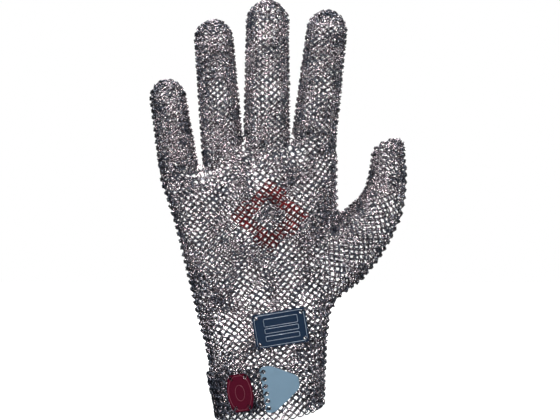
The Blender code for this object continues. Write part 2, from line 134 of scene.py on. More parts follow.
TIP_LEAN = 0.8                   # and its rings lean by this share of LEAN
TIP_GAP = 0.3 * MM               # no ring lies closer to the very end than this
TIP_LAST = 0.5 * MM
LAST_CIRCLES = ((9 * MM, 3), (5 * MM, 1))    # rings in circles shorter than this
KNUCKLE_END = 15 * MM            # a knuckle bends over this length
JOINT_REACH = 8 * MM             # a middle joint over this length each way

# Thumb: centre x, y, z and half width along its axis, in mm
THUMB = np.array((
    (12.0, 2.0, 76.0, 16.5),
    (27.0, 3.0, 83.0, 18.8),
    (40.0, 4.0, 94.0, 19.3),
    (50.0, 5.0, 103.0, 17.4),
    (57.6, 6.0, 112.0, 15.2),
    (63.6, 6.6, 120.5, 13.2),
    (67.0, 7.0, 131.0, 11.4),
    (68.3, 7.0, 142.0, 10.4),
    (68.4, 7.0, 151.0, 9.2),
)) * MM
THUMB_ALONG = np.concatenate([
    [0], np.cumsum(np.linalg.norm(np.diff(THUMB[:, :3], axis=0), axis=1)),
])
THUMB_SPAN = 7 * MM              # its direction is smoothed over this length each way
THUMB_TIP = 9.5 * MM
THUMB_LAST = 0.6 * MM
THUMB_GIRTH = 0.95
THUMB_SLANT = 4 * MM             # the thumb's end leans towards its outer side
THUMB_DEPTH = 0.9
THUMB_ROW = 1.85 * MM
THUMB_PITCH = 4.3 * MM
FILLET = 9 * MM                  # how softly the thumb runs into the hand
OVERLAP = 0.2 * MM               # hand and thumb reach this far into each other
SAMPLE = 0.2 * MM                # distance over which slopes are measured
SAMPLE_COLUMNS = 0.02
JOIN_STEPS = 4
LEAST_SLOPE = 0.2                # these two keep a division off zero
LEAST_R = 0.05

# Steel
PATCHES = (0.3, 0.7)             # the part of the noise that drives the roughness
GRAIN_FINER = 8
GRAIN_DEPTH = 0.0003


def smooth(t):
    t = np.clip(t, 0, 1)
    return t * t * (3 - 2 * t)


def unit(v):
    return v / np.maximum(np.linalg.norm(v, axis=-1, keepdims=True), 1e-12)


# Materials

def new_material(name):
    mat = bpy.data.materials.new(name)
    mat.use_nodes = True
    return mat, mat.node_tree, mat.node_tree.nodes["Principled BSDF"]


def metal(name, colour, roughness, metallic=1.0):
    mat, _, shader = new_material(name)
    shader.inputs["Base Color"].default_value = (*colour, 1)
    shader.inputs["Metallic"].default_value = metallic
    shader.inputs["Roughness"].default_value = roughness
    return mat


def worn(mat, scale, low, high, bump):
    """Adds patchy roughness and fine scratches to a material."""
    tree = mat.node_tree
    shader = tree.nodes["Principled BSDF"]
    place = tree.nodes.new("ShaderNodeTexCoord")
    patches = tree.nodes.new("ShaderNodeTexNoise")
    patches.inputs["Scale"].default_value = scale
    patches.inputs["Detail"].default_value = 6
    spread = tree.nodes.new("ShaderNodeMapRange")
    spread.inputs["From Min"].default_value = PATCHES[0]
    spread.inputs["From Max"].default_value = PATCHES[1]
    spread.inputs["To Min"].default_value = low
    spread.inputs["To Max"].default_value = high
    grain = tree.nodes.new("ShaderNodeTexNoise")
    grain.inputs["Scale"].default_value = scale * GRAIN_FINER
    grain.inputs["Detail"].default_value = 3
    relief = tree.nodes.new("ShaderNodeBump")
    relief.inputs["Strength"].default_value = bump
    relief.inputs["Distance"].default_value = GRAIN_DEPTH
    join = tree.links.new
    join(place.outputs["Object"], patches.inputs["Vector"])
    join(place.outputs["Object"], grain.inputs["Vector"])
    join(patches.outputs["Fac"], spread.inputs["Value"])
    join(spread.outputs["Result"], shader.inputs["Roughness"])
    join(grain.outputs["Fac"], relief.inputs["Height"])
    join(relief.outputs["Normal"], shader.inputs["Normal"])
    return mat


def dull(mat, specular):
    """Lowers a material's mirror-like reflections."""
    mat.node_tree.nodes["Principled BSDF"].inputs["Specular IOR Level"].default_value = specular
    return mat


# Plain steel and two copies given to rings at random: a bright pinkish one that paints highlight
# into the colour, and a dark blue-grey one that paints shade
RING_STEEL = [
    worn(metal("ring_steel_plain", (0.50, 0.455, 0.48), 0.22), 240, 0.16, 0.3, 0.15),
    worn(metal("ring_steel_painted_highlight", (0.92, 0.84, 0.87), 0.18), 240, 0.12, 0.26, 0.15),
    worn(metal("ring_steel_painted_shade", (0.11, 0.12, 0.15), 0.3), 240, 0.22, 0.4, 0.15),
]
# The strap's rings are mostly the dark copy, with painted shade
STRAP_STEEL = [RING_STEEL[2], RING_STEEL[0], RING_STEEL[2]]
# The mark's red rings: plain red, and brighter and darker copies with painted highlight and
# painted shade, given at random
MARK_RED = [
    worn(metal("mark_red_plain", (0.11, 0.005, 0.008), 0.36, 0.6), 240, 0.28, 0.42, 0.15),
    worn(metal("mark_red_painted_highlight", (0.24, 0.012, 0.016), 0.28, 0.6), 240, 0.22, 0.36, 0.15),
    worn(metal("mark_red_painted_shade", (0.06, 0.004, 0.006), 0.42, 0.6), 240, 0.34, 0.5, 0.15),
]
LINK_STEEL = worn(metal("link_ring_steel", (0.17, 0.18, 0.21), 0.24), 300, 0.16, 0.3, 0.1)
CLASP_STEEL = worn(
    metal("clasp_brushed_steel", (0.15, 0.25, 0.33), 0.4, 0.5), 260, 0.34, 0.52, 0.25)
PLATE_STEEL = worn(
    metal("marking_plate_steel", (0.008, 0.021, 0.045), 0.42, 0.35), 180, 0.36, 0.5, 0.12)
PLATE_STEEL = dull(PLATE_STEEL, 0.12)
PLATE_LINES = worn(
    metal("marking_plate_bare_steel", (0.45, 0.52, 0.60), 0.35), 300, 0.3, 0.45, 0.1)
TAG_LINES = worn(
    metal("size_tag_worn_red", (0.13, 0.02, 0.035), 0.4, 0.2), 300, 0.3, 0.45, 0.1)
TAG_RED = worn(
    metal("size_tag_red_enamel", (0.054, 0.0008, 0.0095), 0.5, 0.0), 200, 0.42, 0.6, 0.1)
TAG_RED = dull(TAG_RED, 0.06)


# Meshes of rings

def ring_piece(name, centres, across, up, materials, radius=RING_R, wire=WIRE_R,
               sides=RING_SIDES, wire_sides=WIRE_SIDES):
    """One mesh of many wire rings. across and up span each ring's plane."""
    count = len(centres)
    turn = math.tau * np.arange(sides) / sides
    roll = math.tau * np.arange(wire_sides) / wire_sides
    axis = np.cross(across, up)
    out = (np.cos(turn)[None, :, None] * across[:, None]
           + np.sin(turn)[None, :, None] * up[:, None])
    reach = radius + wire * np.cos(roll)
    points = (centres[:, None, None] + reach[None, None, :, None] * out[:, :, None]
              + (wire * np.sin(roll))[None, None, :, None] * axis[:, None, None])
    i, k = np.meshgrid(np.arange(sides), np.arange(wire_sides), indexing="ij")
    i2, k2 = (i + 1) % sides, (k + 1) % wire_sides
    quads = np.stack([
        i * wire_sides + k, i2 * wire_sides + k, i2 * wire_sides + k2, i * wire_sides + k2,
    ], axis=-1).reshape(-1, 4)
    per_ring = sides * wire_sides
    faces = (quads[None] + per_ring * np.arange(count)[:, None, None]).reshape(-1)
    mesh = bpy.data.meshes.new(name)
    mesh.vertices.add(count * per_ring)
    mesh.vertices.foreach_set("co", points.astype(np.float32).ravel())
    mesh.loops.add(len(faces))
    mesh.loops.foreach_set("vertex_index", faces.astype(np.int32))
    mesh.polygons.add(len(faces) // 4)
    mesh.polygons.foreach_set("loop_start", np.arange(0, len(faces), 4, dtype=np.int32))
    for mat in materials:
        mesh.materials.append(mat)
    # Each ring takes one material at random; for the steel and the mark these include copies with
    # painted highlight and painted shade
    if len(materials) > 1:
        kinds = RANDOM.choice(len(materials), size=count, p=TONE_AND_PAINTED_LIGHT_SHARES)
        mesh.polygons.foreach_set(
            "material_index", np.repeat(kinds, len(quads)).astype(np.int32)
        )
    mesh.update(calc_edges=True)
    mesh.validate()
    obj = bpy.data.objects.new(name, mesh)
    bpy.context.scene.collection.objects.link(obj)
    return obj


class Rings:
    """Rings of the weave, gathered row by row: centres, plane directions and heights."""

    def __init__(self):
        self.rows = []

    def add(self, centre, across, up, even, v, lean=LEAN):
        rings = woven(centre, across, up, lean if even else -lean)
        self.rows.append((*rings, np.full(len(centre), v)))

    def arrays(self):
        return [np.concatenate(parts) for parts in zip(*self.rows)]


def woven(centre, across, up, lean):
    """Each ring's plane: its row's direction, and the upward direction tipped out or in."""
    across = unit(across)
    normal = unit(np.cross(across, up))
    up = unit(np.cross(normal, across))
    n = len(centre)
    tip = lean + RANDOM.normal(0, SHAKE, n)
    tilted = np.cos(tip)[:, None] * up + np.sin(tip)[:, None] * normal
    sway = RANDOM.normal(0, SHAKE, n)
    side = np.cross(tilted, across)
    across = unit(np.cos(sway)[:, None] * across + np.sin(sway)[:, None] * side)
    centre = centre + RANDOM.normal(0, STRAY, centre.shape)
    return centre, across, tilted


# The hand's lattice

def section(z, x):
    """The hand's edges and half depth at a point's height."""
    share = smooth((z - SLOPE_FROM) / (SLOPE_FULL - SLOPE_FROM))
    level = z - KNUCKLE_SLOPE * share * x
    return [np.interp(level, STATIONS[:, 0], STATIONS[:, i]) for i in (1, 2, 3)]


SETTLE = 8                       # passes until a row's heights and places agree
ARC = np.linspace(-math.pi / 2, math.pi / 2, 181)
ARC_X = np.sign(np.sin(ARC)) * np.abs(np.sin(ARC)) ** (2 / ROUNDNESS)
ARC_Y = np.abs(np.cos(ARC)) ** (2 / ROUNDNESS)


def hand_curve(v):
    """One row's curve over the hand's front, from the little-finger seam to the thumb seam."""
    full = np.clip(v / RISE_FULL, 0, 1)
    x = np.zeros_like(ARC)
    for _ in range(SETTLE):
        z = v + RISE * (full * x + (1 - full) * np.maximum(x, 0))
        z = z + HEM_RISE * (1 - smooth(v / RISE_FULL)) * (np.maximum(x, 0) / HEM_HALF) ** 2
        left, right, depth = section(z, x)
        half = (right - left) / 2 - SINK
        x = (left + right) / 2 + half * ARC_X
    points = np.stack([x, -(depth - SINK) * ARC_Y, z], axis=1)
    length = np.concatenate([[0], np.cumsum(np.linalg.norm(np.diff(points, axis=0), axis=1))])
    lean = RISE * (REFERENCE[1] - max(v, 0.0))
    if v < RISE_FULL:
        lean = RISE * (REFERENCE[1] - RISE_FULL + (RISE_FULL**2 - v * v) / (2 * RISE_FULL))
    start = np.interp(REFERENCE[0] + lean, x, length)
    return points, length, start


def pitch_at(v):
    """Distance between neighbouring rings of one row."""
    share = smooth((v - PITCH_CLOSES_FROM) / (ROWS_CLOSE_TO - PITCH_CLOSES_FROM))
    return PALM_PITCH + (FINGER_PITCH - PALM_PITCH) * share


def side_counts(v):
    """How many columns lie between the reference column and each side seam."""
    if v > CROTCHES[0] - COUNTS_SETTLE:
        return UPPER_COUNTS
    _, length, start = hand_curve(v)
    pitch = pitch_at(v)
    return round(start / pitch), round((length[-1] - start) / pitch)


def hand_front(v, columns, counts):
    """Points on the front of the hand, with the columns near each seam spread to reach it."""
    points, length, start = hand_curve(v)
    pitch = pitch_at(v)
    left, right = counts
    s = start + columns * pitch
    spare = length[-1] - start - right * pitch
    s = s + spare * np.clip((columns - right + STRETCHED) / STRETCHED, 0, MOST_STRETCH)
    spare = start - left * pitch
    s = s - spare * np.clip((-columns - left + STRETCHED) / STRETCHED, 0, MOST_STRETCH)
    return np.stack([np.interp(s, length, points[:, i]) for i in range(3)], axis=1)


class Finger:
    """One finger's surface, about the line through its knuckle and its middle joint."""

    def __init__(self, name, index):
        self.name = name
        self.index = index
        low, high, tip = FINGERS[name]
        self.low, self.high, self.tip = low * MM - SINK, high * MM - SINK, tip * MM - SINK
        knuckle, middle = (JOINTS[f"{name}_{j}_bend"] for j in ("knuckle", "middle"))
        self.origin = np.array(knuckle["pos_m"], float)
        across = -np.array(knuckle["axis"], float)
        self.across = across * np.sign(across[0])
        self.along = unit(np.array(middle["pos_m"], float) - self.origin)
        self.middle = float(np.linalg.norm(np.array(middle["pos_m"], float) - self.origin))
        self.level = self.origin[2] - RISE * self.origin[0]
        self.column = (index - 2) * PER_FINGER
        self.straight = self.tip - self.high
        self.end = self.straight + self.high * math.pi / 2
        self.left = CROTCHES[index - 1] if index else self.level
        self.right = CROTCHES[index] if index < len(CROTCHES) else self.level

    def surface(self, v, angle):
        """Points on the finger: angle 0 is its front, a quarter turn its thumb side."""
        t = v - self.level
        over = np.clip((t - self.straight) / self.high, 0, math.pi / 2)
        share = np.clip(t / self.tip, 0, 1)
        half = (self.low + (self.high - self.low) * share) * np.cos(over)
        ahead = min(t, self.straight) + self.high * np.sin(over)
        side = np.outer(half * np.sin(angle), self.across)
        deep = np.outer(-half * FINGER_DEPTH * np.cos(angle), (0, 1, 0))
        return self.origin + ahead * self.along + side + deep

    def outer(self, offset):
        """Which columns lie on the hand's outer side of this finger."""
        return np.where(offset < 0, self.index == 0, self.index == len(FINGERS) - 1)

    def crotch(self, column):
        """Height of the crotch beside a column, blended across the finger."""
        share = np.clip((column - self.column + QUARTER) / (2 * QUARTER), 0, 1)
        return self.left + (self.right - self.left) * share

    def at(self, distance):
        return Vector(self.origin + self.along * distance)


FINGER_LIST = [Finger(name, i) for i, name in enumerate(FINGERS)]


def front(v, columns, counts):
    """Points on the front of the hand and of its fingers, at a row and at columns."""
    base = hand_front(v, columns, counts)
    total = np.zeros(len(columns))
    moved = np.zeros_like(base)
    for finger in FINGER_LIST:
        offset = columns - finger.column
        own = (np.abs(offset) <= PER_FINGER / 2 + ALMOST) | finger.outer(offset)
        angle = offset / QUARTER * math.pi / 2
        target = finger.surface(v, np.clip(angle, -math.pi / 2, math.pi / 2))
        weight = smooth((v - finger.crotch(columns) + MERGE) / MERGE)[:, None]
        moved[own] += (base + (target - base) * weight)[own]
        total[own] += 1
    return moved / total[:, None]


def with_frames(place, v, columns):
    """Centres and directions of rings on a surface given as a function of row and column."""
    here = place(v, columns)
    across = place(v, columns + SAMPLE_COLUMNS) - place(v, columns - SAMPLE_COLUMNS)
    up = place(v + SAMPLE, columns) - place(v - SAMPLE, columns)
    return here, across, up


def mirrored(values):
    """The same on the palm side."""
    return values * np.array((1, -1, 1))


def row_levels():
    """Heights of all rows, up to the longest finger's tip."""
    levels = [FIRST_ROW]
    while levels[-1] < LAST_ROW:
        share = smooth((levels[-1] - ROWS_CLOSE_FROM) / (ROWS_CLOSE_TO - ROWS_CLOSE_FROM))
        levels.append(levels[-1] + PALM_ROW + (FINGER_ROW - PALM_ROW) * share)
    return levels


LEVELS = row_levels()


def slack(level, columns):
    """How far the palm side's rings lie off their places, in rows and in columns."""
    rows = sum(
        share * np.sin(turn * columns + level / height) for turn, height, share in SLACK_WAVES
    )
    turn, height = SLACK_ASIDE
    aside = np.cos(turn * columns + level / height)
    return SLACK_ROWS * rows * smooth(level / SLACK_FROM), SLACK_COLUMNS * aside


def hand_columns(v, even, counts):
    """One row's columns over the hand, without those that belong to the fingers."""
    columns = np.arange(-counts[0], counts[1] + 1, dtype=float)
    if not even:
        columns = columns[:-1] + 0.5
    if v <= CROTCHES[0] - MERGE:
        return columns
    keep = np.zeros(len(columns), bool)
    for finger in FINGER_LIST:
        offset = columns - finger.column
        inner = np.abs(offset) < PER_FINGER / 2 - HAIR
        keep |= inner & (v < max(finger.level - OWN_ROWS, CROTCHES[0] - MERGE))
        keep |= ~inner & finger.outer(offset) & (v < finger.level - OWN_ROWS)
        if finger.index:
            shared = np.abs(offset + PER_FINGER / 2) < HAIR
            keep |= shared & (v <= finger.left)
    return columns[keep]


def weave_hand():
    """All rings of the hand, up to the crotches between the fingers."""
    rings = Rings()
    for j, v in enumerate(LEVELS):
        if v > max(CROTCHES):
            break
        even = j % 2 == 0
        counts = side_counts(v)
        columns = hand_columns(v, even, counts)
        if not len(columns):
            continue

        def place(level, cols, counts=counts):
            return front(level, cols, counts)

        rings.add(*with_frames(place, v, columns), even, v)
        seam = (columns <= -counts[0] + HAIR) | (columns >= counts[1] - HAIR)
        behind = columns[~seam]
        if not len(behind):
            continue
        inward = np.minimum(behind + counts[0], counts[1] - behind)

        def place_behind(level, cols, counts=counts, loose=smooth(inward / SAG_COLUMNS)):
            rows, aside = slack(level, cols)
            cols = cols + aside * loose
            low, full = (front(level - step, cols, counts) for step in (0, PALM_ROW))
            return low + (full - low) * (loose * (1 + rows))[:, None]

        centre, across, up = (mirrored(part) for part in with_frames(place_behind, v, behind))
        rings.add(centre, -across, up, even, v)
    return rings


def finger_columns(finger, v, even):
    """One row's columns round a finger, from the middle of its palm side all the way round."""
    columns = np.arange(-2 * QUARTER, 2 * QUARTER) + (0.0 if even else 0.5)
    if v > finger.level + WHOLE_ROWS:
        return columns
    far = np.abs(columns)
    offset = np.where(far > QUARTER, 2 * QUARTER - far, far)
    crotch = np.where(columns < 0, finger.left, finger.right)
    own = (offset < PER_FINGER / 2 - HAIR) | finger.outer(columns)
    return columns[np.where(own, v >= finger.level - OWN_ROWS, v > crotch)]


def tube_row(finger, v, columns):
    """Centres and directions of one row's rings round a finger's straight part."""
    ahead = np.abs(columns) <= QUARTER
    folded = np.where(ahead, columns, np.sign(columns) * 2 * QUARTER - columns)
    merged = v < max(finger.left, finger.right) + MM
    depth = np.clip(np.abs(columns) - QUARTER, 0, None)
    loose = smooth(depth / FINGER_SAG_COLUMNS)
    fade = smooth((v - np.where(columns < 0, finger.left, finger.right)) / SAG_FADE)
    sag = np.where(depth > 0, 1 + (loose - 1) * fade, 0)

    def surface(level, cols):
        target = finger.surface(level, cols / QUARTER * math.pi / 2)
        if not merged:
            return target
        base = hand_front(level, finger.column + cols, UPPER_COUNTS)
        lift = smooth((level - finger.crotch(finger.column + cols) + MERGE) / MERGE)
        return base + (target - base) * lift[:, None]

    def sagging(level, cols):
        rows, aside = slack(level, cols)
        cols = cols + aside * loose
        low, full = surface(level, cols), surface(level - PALM_ROW, cols)
        return low + (full - low) * (sag + rows * loose)[:, None]

    frames = with_frames(sagging, v, folded)
    for values in frames:
        values[~ahead] = mirrored(values[~ahead])
    frames[1][~ahead] *= -1
    return frames


def tip_row(finger, v, even):
    """The same round its closing end, in smaller and smaller circles."""
    over = (v - finger.level - finger.straight) / finger.high
    around = math.tau * finger.high * TIP_GIRTH * math.cos(over)
    number = max(round(around / FINGER_PITCH), 4)
    for length, few in LAST_CIRCLES:
        if around < length:
            number = few
    angles = math.tau * (np.arange(number) + (0.0 if even else 0.5)) / number
    return with_frames(finger.surface, min(v, finger.level + finger.end - TIP_LAST), angles)


def weave_finger(finger):
    """Rings of one finger above the hand's own."""
    rings = Rings()
    for j, v in enumerate(LEVELS):
        t = v - finger.level
        even = j % 2 == 0
        if t < -MERGE - FINGER_BELOW or t > finger.end - TIP_GAP:
            continue
        if t > finger.straight + TUBE_PAST * finger.high:
            rings.add(*tip_row(finger, v, even), even, v, LEAN * TIP_LEAN)
            continue
        columns = finger_columns(finger, v, even)
        if len(columns):
            rings.add(*tube_row(finger, v, columns), even, v)
    return rings


def thumb_axis(s):
    """Centre, direction and half width at a distance along the thumb, past its end too."""
    s = np.clip(s, 0, THUMB_ALONG[-1])
    behind, here, ahead = (
        np.array([np.interp(place, THUMB_ALONG, THUMB[:, i]) for i in range(4)])
        for place in (s - THUMB_SPAN, s, s + THUMB_SPAN)
    )
    return here[:3], unit((ahead - behind)[:3]), here[3]


def thumb_over(s):
    """How far a row has turned into the thumb's domed end, as an angle."""
    return np.clip((s - THUMB_ALONG[-1]) / THUMB_TIP, 0, math.pi / 2)


def thumb_surface(s, angle):
    """Points on the thumb: angle 0 is its front, a quarter turn its outer side."""
    centre, along, half = thumb_axis(s)
    across = unit(np.cross((0, 1, 0), along))
    deep = np.cross(along, across)
    over = thumb_over(s)
    centre = centre + along * (THUMB_TIP - SINK) * np.sin(over)
    centre = centre + across * THUMB_SLANT * np.sin(over) ** 2
    half = (half - SINK) * np.cos(over)
    side = np.outer(half * np.sin(angle), across)
    back = np.outer(-half * THUMB_DEPTH * np.cos(angle), deep)
    return centre + side + back


def weave_thumb():
    """Rings of the thumb, from its closed end down into the hand."""
    rings = Rings()
    end = THUMB_ALONG[-1] + THUMB_TIP * math.pi / 2 - THUMB_LAST
    for j in range(int(end / THUMB_ROW) + 1):
        s = end - j * THUMB_ROW
        even = j % 2 == 0
        quarter = (thumb_axis(s)[2] - SINK) * math.pi / 2 * THUMB_GIRTH
        number = max(round(quarter * math.cos(thumb_over(s)) / THUMB_PITCH), 1)
        columns = np.arange(-2 * number, 2 * number) + (0.0 if even else 0.5)
        if j == 0:
            columns = np.zeros(1)
        rings.add(*with_frames(thumb_surface, s, columns / number * math.pi / 2), even, s)
    return rings


def hand_distance(p):
    """Rough distance outside the hand's ring surface, less than zero inside it."""
    left, right, depth = section(p[:, 2], p[:, 0])
    x = p[:, 0] - (left + right) / 2
    r = ((np.abs(x) / ((right - left) / 2 - SINK)) ** ROUNDNESS
         + (np.abs(p[:, 1]) / (depth - SINK)) ** ROUNDNESS) ** (1 / ROUNDNESS)
    return (1 - 1 / np.maximum(r, LEAST_R)) * np.hypot(x, p[:, 1])


def thumb_distance(p):
    """The same for the thumb."""
    best = np.full(len(p), np.inf)
    for low, high in zip(THUMB, THUMB[1:]):
        step = high[:3] - low[:3]
        share = np.clip((p - low[:3]) @ step / (step @ step), 0, 1)
        off = p - (low[:3] + share[:, None] * step)
        off[:, 1] /= THUMB_DEPTH
        half = low[3] + (high[3] - low[3]) * share - SINK
        best = np.minimum(best, np.linalg.norm(off, axis=1) - half)
    return best


def together(p):
    """Distance to the hand and the thumb, joined with a soft fillet."""
    a, b = hand_distance(p), thumb_distance(p)
    h = np.clip(0.5 + 0.5 * (b - a) / FILLET, 0, 1)
    return b + (a - b) * h - FILLET * h * (1 - h) * 0.5


def gradient(p):
    """Slope of the joined distance."""
    return np.stack([
        (together(p + SAMPLE * e) - together(p - SAMPLE * e)) / (2 * SAMPLE) for e in np.eye(3)
    ], axis=1)


def onto_joined(centre):
    """Moves rings near the thumb's root onto the joined surface."""
    moved = centre.copy()
    for _ in range(JOIN_STEPS):
        slope = gradient(moved)
        size = np.maximum((slope ** 2).sum(axis=1, keepdims=True), LEAST_SLOPE)
        moved -= together(moved)[:, None] * slope / size
    apart = np.abs(thumb_distance(centre) - hand_distance(centre))
    near = smooth(1 - (apart - FILLET) / FILLET)
    return centre + (moved - centre) * near[:, None]


def make_hand():
    """The hand and the cuff: four lengths, each with a back and a palm side."""
    centre, across, up, v = weave_hand().arrays()
    distance = thumb_distance(centre)
    keep = distance > -OVERLAP
    near = keep & (np.abs(distance) < 3 * FILLET) & (centre[:, 0] > 0)
    centre[near] = onto_joined(centre[near])
    centre, across, up, v = (values[keep] for values in (centre, across, up, v))
    red = mark_mask(centre)
    back = centre[:, 1] < 0
    names = ("cuff", "wrist", "palm", "knuckles")
    for name, low, high in zip(names, HAND_SPLITS, HAND_SPLITS[1:]):
        for side, mask, wire in (("back", back, WIRE_R), ("palm", ~back, PALM_WIRE_R)):
            chosen = mask & (v >= low) & (v < high) & ~red
            label = f"{name}_{side}_rings"
            obj = ring_piece(label, centre[chosen], across[chosen], up[chosen], RING_STEEL,
                             wire=wire)
            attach(obj, "hand")
    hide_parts("cuff_mesh")
    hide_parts("hand_back_mesh")
    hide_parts("hand_palm_mesh")
    mark = ring_piece("mark_rings", centre[red], across[red], up[red], MARK_RED)
    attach(mark, "hand")


def make_finger(finger):
    """A finger's rings in two pieces: its root, up to a point between the knuckle and the middle
    joint, and its tip beyond.
    """
    centre, across, up, _ = weave_finger(finger).arrays()
    name = finger.name
    joint_start, joint_end = finger.middle - JOINT_REACH, finger.middle + JOINT_REACH
    low = (centre - finger.origin) @ finger.along < (KNUCKLE_END + joint_start) / 2
    root = ring_piece(f"{name}_root_rings", centre[low], across[low], up[low], RING_STEEL)
    finger.at(0)
    finger.at(KNUCKLE_END)
    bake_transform(root)
    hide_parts(f"{name}_knuckle_mesh", f"{name}_base_mesh")
    tip = ring_piece(f"{name}_tip_rings", centre[~low], across[~low], up[~low], RING_STEEL)
    finger.at(joint_start)
    finger.at(joint_end)
    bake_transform(tip)
    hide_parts(f"{name}_joint_mesh", f"{name}_tip_mesh")


def make_thumb():
    """The thumb, set into the hand."""
    centre, across, up, _ = weave_thumb().arrays()
    keep = hand_distance(centre) > OVERLAP
    centre, across, up = centre[keep], across[keep], up[keep]
    near = thumb_distance(centre) - hand_distance(centre) > -2 * FILLET
    centre[near] = onto_joined(centre[near])
    thumb = ring_piece("thumb_rings", centre, across, up, RING_STEEL)
    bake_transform(thumb)
    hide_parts("thumb_base_mesh", "thumb_knuckle_mesh", "thumb_tip_mesh")


MARK_AT = (0.3 * MM, 116 * MM)
MARK_HALF = (21 * MM, 20.5 * MM)
MARK_HOLLOW = 0.52


def mark_mask(centre):
    """The outline of a plain lozenge, in red rings, on the back of the hand."""
    x = np.abs(centre[:, 0] - MARK_AT[0]) / MARK_HALF[0]
    z = np.abs(centre[:, 2] - MARK_AT[1]) / MARK_HALF[1]
    return (centre[:, 1] < 0) & (x + z < 1) & (x + z > MARK_HOLLOW)


# Hardware on the wrist

TILT = math.radians(9)
LIFT = 2.5 * MM
LINK_R = 2.2 * MM
LINK_WIRE = 0.32 * MM
LINK_SIDES = 28
LINK_WIRE_SIDES = 10
DRILL_SIDES = 24
EDGE_STEPS = 3
EDGE_ANGLE = math.radians(35)
CORNER_HOLE = 1.1 * MM
CORNER_IN = 2.2 * MM
CLASP_HOLES = 6
CLASP_AT = (-2.0 * MM, 19.3 * MM)
CLASP_YAW = math.radians(3)
CLASP_THICK = 1.0 * MM
HOLE_PITCH = 4.1 * MM
HOLE_R = 1.25 * MM
CLASP_ROUND = 1.6 * MM
CLASP_EDGE = 0.16 * MM
CLASP_RIGHT = (                  # the clasp's outline right of its holes, in mm
    (-1.2, 13.0), (4.4, 13.0), (17.6, 5.6), (18.8, 4.1), (18.8, -0.7), (17.6, -2.7),
    (11.0, -7.6), (2.9, -12.9), (-1.2, -12.9),
)
LOBE_IN = -1.35 * MM             # and the lobes left of them
LOBE_OUT = -2.05 * MM
LOBE_REACH = 12.3 * MM
LOBE_STEPS = 7
LOBE_FULLNESS = 0.6
RIGHT_FROM = -0.9 * MM
HOOK_AT = (17.3, -1.0)           # the hook's bend: centre, radii and tip, in mm
HOOK_OUTER = 1.5
HOOK_INNER = 0.5
HOOK_TIP = ((18.6, -3.4), (18.3, -4.6), (17.4, -4.5), (17.7, -3.3), (17.8, -1.0))
HOOK_SIDES = (-0.6 * MM, 4.0 * MM)
CORNER_STEPS = 4
CORNER_CUTS = 2.2                # a side is at least this many corner cuts long
LINE_SINK = 0.02 * MM            # raised lines start inside the plate
LINE_TOP = 0.7                   # and are this much narrower on top
TAG_AT = (-16.4 * MM, 17.8 * MM)
TAG_YAW = math.radians(-11)
TAG_SIZE = (14.6 * MM, 20.8 * MM, 1.2 * MM)
TAG_OFF = 2.3 * MM
TAG_BULGE = 1.6 * MM
TAG_NOTCH = 1.6 * MM
TAG_SIDES = 14
TAG_INSET = CORNER_IN + 1.2 * MM
TAG_EDGE = 0.3 * MM
TAG_RIM = 1.8 * MM
TAG_RIM_NOTCH = 2.6 * MM
TAG_OVAL = (2.6 * MM, 4.4 * MM)
TAG_OVAL_SIDES = 40
TAG_LINE = (0.45 * MM, 0.2 * MM)
PLATE_AT = (6.0 * MM, 53.5 * MM)
PLATE_YAW = math.radians(5)
PLATE_SIZE = (30 * MM, 19.4 * MM, 1.2 * MM)
PLATE_OFF = 1.3 * MM
PLATE_ROUND = 1.2 * MM
PLATE_EDGE = 0.15 * MM
PLATE_RIM = 2.0 * MM
PLATE_RIM_ROUND = 2.4 * MM
FIELD_WIDE = 19 * MM             # the blank fields: width, place, corners
FIELD_X = 0.6 * MM
FIELD_ROUND = 0.6 * MM
FIELDS = ((4.2 * MM, 4.2 * MM), (2.6 * MM, -0.4 * MM), (2.6 * MM, -4.6 * MM))
PLATE_LINE = (0.34 * MM, 0.12 * MM)
STRAP_LOW = 7.2 * MM
STRAP_HIGH = 29.8 * MM
STRAP_COLUMNS = 6
STRAP_FIRST = 1.2 * MM           # its first row lies this far from its clasp edge
STRAP_END = 2 * MM
STRAP_TURN = 188.0               # where it hinges, in degrees round the cuff
ROOT_TURN = 160.0                # and where its woven-in end stops
HINGE_LIFT = 0.35                # its height there, as a share of LIFT
LIFT_SPREAD = 1.6
ROOT_LIFT = 0.1 * MM
FREE_STEPS = 60
ROOT_STEPS = 24
STRAP_SAMPLE = 0.3 * MM


def power(value, exponent):
    return np.sign(value) * np.abs(value) ** exponent


def outline(z, degrees, out):
    """Points round the cuff at one height: 0 is the thumb side, 270 the back of the hand."""
    left, right, depth = section(z, 0.0)
    a = np.radians(degrees)
    x = (left + right) / 2 + ((right - left) / 2 + out) * power(np.cos(a), 2 / ROUNDNESS)
    y = (depth + out) * power(np.sin(a), 2 / ROUNDNESS)
    return np.stack([x, y, np.full_like(x, z)], axis=-1)


def turn_at(x, z):
    """Degrees round the cuff of a place on the back of the hand."""
    left, right, _ = section(z, 0.0)
    share = (x - (left + right) / 2) / ((right - left) / 2)
    return 360.0 - math.degrees(math.acos(power(share, ROUNDNESS / 2)))


def plate_frame(at, off, yaw):
    """Where a plate lies on the back of the hand: turned by TILT, and by yaw to face aside."""
    x, z = at
    surface = outline(z, np.array([turn_at(x, z)]), 0.0)[0]
    right = Vector((math.cos(yaw) * math.cos(TILT), math.sin(yaw), math.cos(yaw) * math.sin(TILT)))
    up = Vector((-math.sin(TILT), 0, math.cos(TILT)))
    out = right.cross(up).normalized()
    up = out.cross(right)
    turn = Matrix((right, up, out)).transposed().to_4x4()
    return Matrix.Translation((x, surface[1] - off, z)) @ turn


